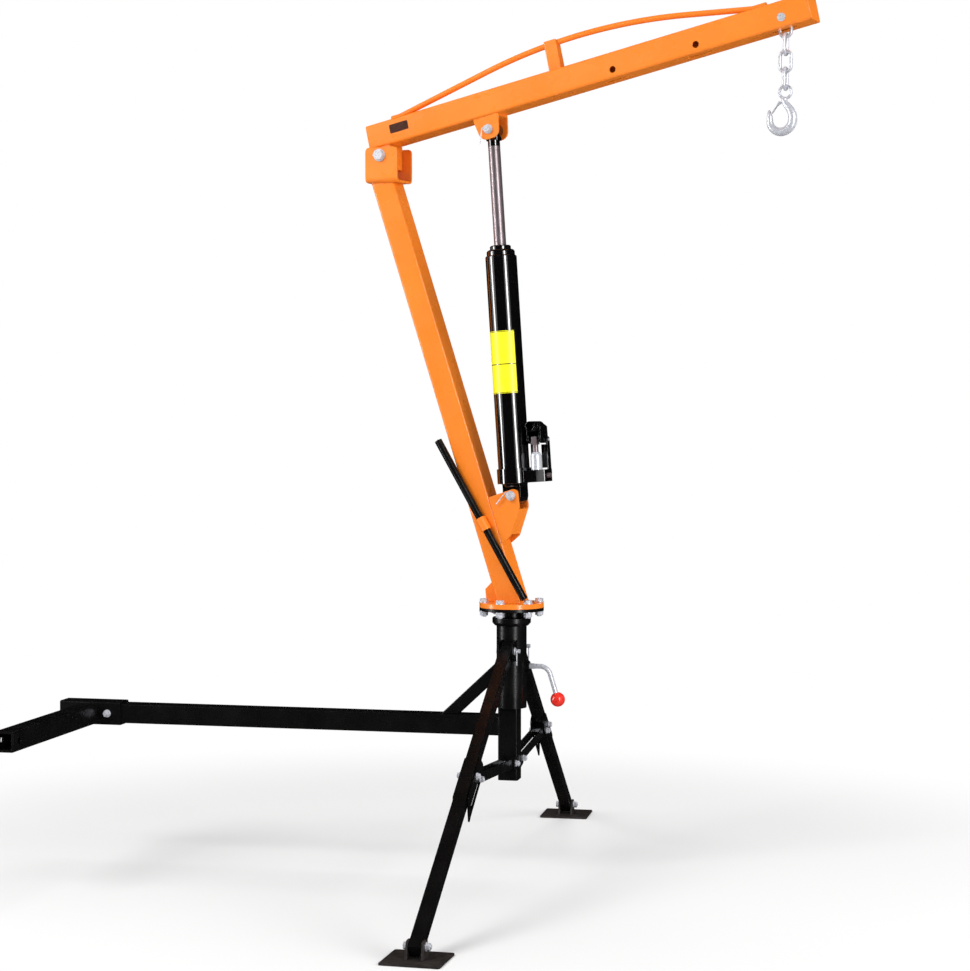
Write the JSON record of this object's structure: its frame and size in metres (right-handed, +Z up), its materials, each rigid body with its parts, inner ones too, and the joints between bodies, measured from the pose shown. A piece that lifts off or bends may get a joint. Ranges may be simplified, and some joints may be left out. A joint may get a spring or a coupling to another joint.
{
  "type": "hitch mounted engine hoist crane",
  "caption": "Receiver hitch crane: swivelling leaning mast, folding legs with feet, trussed boom raised by a long ram jack, chain and hook.",
  "frame": {"origin": "centre of the hitch pin hole, on the axis of the hitch shank", "axes": "+Z up, +Y from the vehicle's hitch along the shank to the base arm, +X along the base arm to the post; the boom is turned 12.4 degrees from +X towards the vehicle"},
  "size_m": [1.9556, 1.8488, 2.1263],
  "materials": {
    "orange_paint": "gloss",
    "black_paint": "gloss",
    "zinc": "bright zinc plate",
    "chrome": "polished",
    "bronze": "machined",
    "rubber": "matt",
    "red_plastic": "gloss"
  },
  "bodies": {
    "base": {"hitch_shank": "black_paint", "corner_sleeve": "black_paint", "sleeve_bolts": "zinc", "arm_tube": "black_paint", "post_tube": "black_paint", "swivel_housing": "black_paint", "housing_collar": "black_paint", "swivel_bushes": "bronze", "housing_end_plate": "black_paint", "diagonal_brace": "black_paint", "leg_brackets": "black_paint", "base_pins": "zinc", "lock_nut": "black_paint", "link_lugs": "black_paint"},
    "near_leg": {"near_leg_tube": "black_paint", "near_leg_channel": "black_paint"},
    "far_leg": {"far_leg_tube": "black_paint", "far_leg_channel": "black_paint"},
    "near_link": {"near_link_bars": "black_paint"},
    "far_link": {"far_link_bars": "black_paint"},
    "near_foot_pad": {"near_foot": "black_paint"},
    "far_foot_pad": {"far_foot": "black_paint"},
    "crank": {"lock_crank": "chrome", "ball_knob": "red_plastic"},
    "mast": {"swivel_flange": "black_paint", "flange_bolts": "zinc", "mast_base_plate": "orange_paint", "mast_tube": "orange_paint", "mast_gusset": "orange_paint", "boom_bracket": "orange_paint", "jack_bracket": "orange_paint", "handle_clip": "orange_paint", "boom_pivot_bolt": "zinc", "lower_jack_pin": "zinc"},
    "pump_handle": {"handle_bar": "black_paint", "handle_grip": "rubber"},
    "boom": {"boom_tube": "orange_paint", "boom_end_caps": "orange_paint", "boom_lug": "orange_paint", "truss_bar": "orange_paint", "truss_strut": "orange_paint", "upper_clevis": "orange_paint", "upper_jack_pin": "zinc", "hook_pin": "zinc"},
    "jack": {"jack_base": "black_paint", "jack_cylinder": "black_paint", "gland_nut": "black_paint", "pressure_tube": "chrome", "pump_body": "black_paint"},
    "ram": {"ram_rod": "chrome", "ram_head": "black_paint"},
    "plunger": {"pump_plunger": "chrome"},
    "lever": {"pump_lever": "black_paint"},
    "valve": {"release_valve": "chrome"},
    "link_1": {"chain_link_1": "zinc"},
    "link_2": {"chain_link_2": "zinc"},
    "link_3": {"chain_link_3": "zinc"},
    "link_4": {"chain_link_4": "zinc"},
    "hook": {"hook_body": "zinc"},
    "latch": {"hook_latch": "zinc"}
  },
  "joints": [
    {"name": "near_leg_fold", "type": "hinge", "parent": "base", "child": "near_leg", "pos_m": [1.11027, 0.44897, 0.191], "axis": [0.9996, -0.0279, 0], "range_deg": [0, 15]},
    {"name": "near_link_swing", "type": "hinge", "parent": "base", "child": "near_link", "pos_m": [1.11083, 0.46896, -0.089], "axis": [0.9996, -0.0279, 0], "range_deg": [0, 24]},
    {"name": "near_foot_tilt", "type": "hinge", "parent": "near_leg", "child": "near_foot_pad", "pos_m": [1.08799, -0.34872, -0.351], "axis": [0.9996, -0.0279, 0], "range_deg": [-20, 20]},
    {"name": "far_leg_fold", "type": "hinge", "parent": "base", "child": "far_leg", "pos_m": [1.11027, 0.57303, 0.191], "axis": [-0.9996, -0.0279, 0], "range_deg": [0, 15]},
    {"name": "far_link_swing", "type": "hinge", "parent": "base", "child": "far_link", "pos_m": [1.11083, 0.55304, -0.089], "axis": [-0.9996, -0.0279, 0], "range_deg": [0, 24]},
    {"name": "far_foot_tilt", "type": "hinge", "parent": "far_leg", "child": "far_foot_pad", "pos_m": [1.08799, 1.37072, -0.351], "axis": [-0.9996, -0.0279, 0], "range_deg": [-20, 20]},
    {"name": "lock_crank_turn", "type": "hinge", "parent": "base", "child": "crank", "pos_m": [1.11, 0.511, 0.148], "axis": [1, 0, 0], "continuous": true},
    {"name": "mast_swivel", "type": "hinge", "parent": "base", "child": "mast", "pos_m": [1.11, 0.511, 0.261], "axis": [0, 0, 1], "continuous": true},
    {"name": "pump_handle_lift", "type": "slide", "parent": "mast", "child": "pump_handle", "axis": [-0.5059, 0.1112, 0.8554], "range_m": [0, 0.19]},
    {"name": "boom_lift", "type": "hinge", "parent": "mast", "child": "boom", "pos_m": [0.77143, 0.58544, 1.425], "axis": [-0.2147, -0.9767, 0], "range_deg": [-30, 20]},
    {"name": "jack_tilt", "type": "hinge", "parent": "mast", "child": "jack", "pos_m": [1.12074, 0.50864, 0.572], "axis": [-0.2147, -0.9767, 0], "range_deg": [-1, 3]},
    {"name": "ram_slide", "type": "slide", "parent": "jack", "child": "ram", "axis": [-0.0666, 0.0146, 0.9977], "range_m": [-0.157, 0.105]},
    {"name": "pump_lever_stroke", "type": "hinge", "parent": "jack", "child": "lever", "pos_m": [1.18049, 0.51598, 0.70919], "axis": [0.9744, -0.2142, 0.0682], "range_deg": [-25, 25]},
    {"name": "pump_plunger_slide", "type": "slide", "parent": "jack", "child": "plunger", "axis": [-0.0666, 0.0146, 0.9977], "range_m": [-0.0135, 0.0135]},
    {"name": "release_valve_turn", "type": "hinge", "parent": "jack", "child": "valve", "pos_m": [1.20447, 0.49023, 0.62297], "axis": [0.9744, -0.2142, 0.0682], "range_deg": [-90, 180]},
    {"name": "chain_link_1_swing", "type": "hinge", "parent": "boom", "child": "link_1", "pos_m": [1.79425, 0.36056, 1.69258], "axis": [0.2147, 0.9767, 0], "range_deg": [-20, 15]},
    {"name": "chain_link_2_swing", "type": "hinge", "parent": "link_1", "child": "link_2", "pos_m": [1.79425, 0.36056, 1.65188], "axis": [0.9767, -0.2147, 0], "range_deg": [-20, 20]},
    {"name": "chain_link_3_swing", "type": "hinge", "parent": "link_2", "child": "link_3", "pos_m": [1.79425, 0.36056, 1.61168], "axis": [0.2147, 0.9767, 0], "range_deg": [-20, 20]},
    {"name": "chain_link_4_swing", "type": "hinge", "parent": "link_3", "child": "link_4", "pos_m": [1.79425, 0.36056, 1.57148], "axis": [0.9767, -0.2147, 0], "range_deg": [-20, 20]},
    {"name": "hook_swing", "type": "hinge", "parent": "link_4", "child": "hook", "pos_m": [1.79425, 0.36056, 1.53128], "axis": [0.2147, 0.9767, 0], "range_deg": [-20, 20]},
    {"name": "hook_latch_open", "type": "hinge", "parent": "hook", "child": "latch", "pos_m": [1.78155, 0.36335, 1.49958], "axis": [-0.2147, -0.9767, 0], "range_deg": [0, 35], "stiffness_Nm_per_rad": 0.02, "springref_deg": -20.05}
  ],
  "couplings": [
    {"joint": "near_link_swing", "follows": "near_leg_fold", "ratio": 1.57},
    {"joint": "far_link_swing", "follows": "far_leg_fold", "ratio": 1.57},
    {"joint": "jack_tilt", "follows": "boom_lift", "ratio": 0.005},
    {"joint": "ram_slide", "follows": "boom_lift", "m_per_rad": 0.298},
    {"joint": "pump_plunger_slide", "follows": "pump_lever_stroke", "m_per_rad": -0.03}
  ]
}
